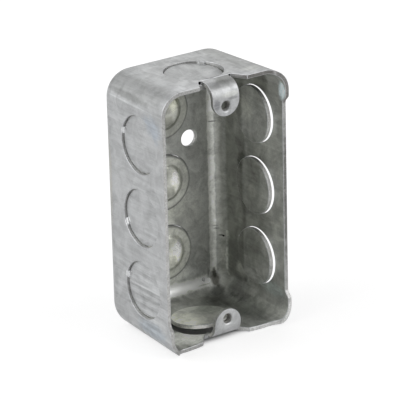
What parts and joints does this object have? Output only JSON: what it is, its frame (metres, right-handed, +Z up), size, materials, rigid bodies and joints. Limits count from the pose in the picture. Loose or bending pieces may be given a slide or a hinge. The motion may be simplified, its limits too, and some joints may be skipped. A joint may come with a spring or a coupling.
{
  "type": "rectangular electrical box",
  "caption": "Drawn steel box for an electrical switch or socket, open at the front, with round knockouts in its walls and a folded screw tab at each end.",
  "frame": {"origin": "middle of the footprint of the box as it stands on one short end, at the height of the lowest point", "axes": "+Z up along the long side, +X to the right as seen from the front, +Y from the open front to the back"},
  "size_m": [0.0544, 0.043, 0.1015],
  "materials": {
    "galvanised_steel": "dull zinc coating with draw marks, smooth to the touch"
  },
  "bodies": {
    "root": {"box": "galvanised_steel"}
  },
  "joints": []
}
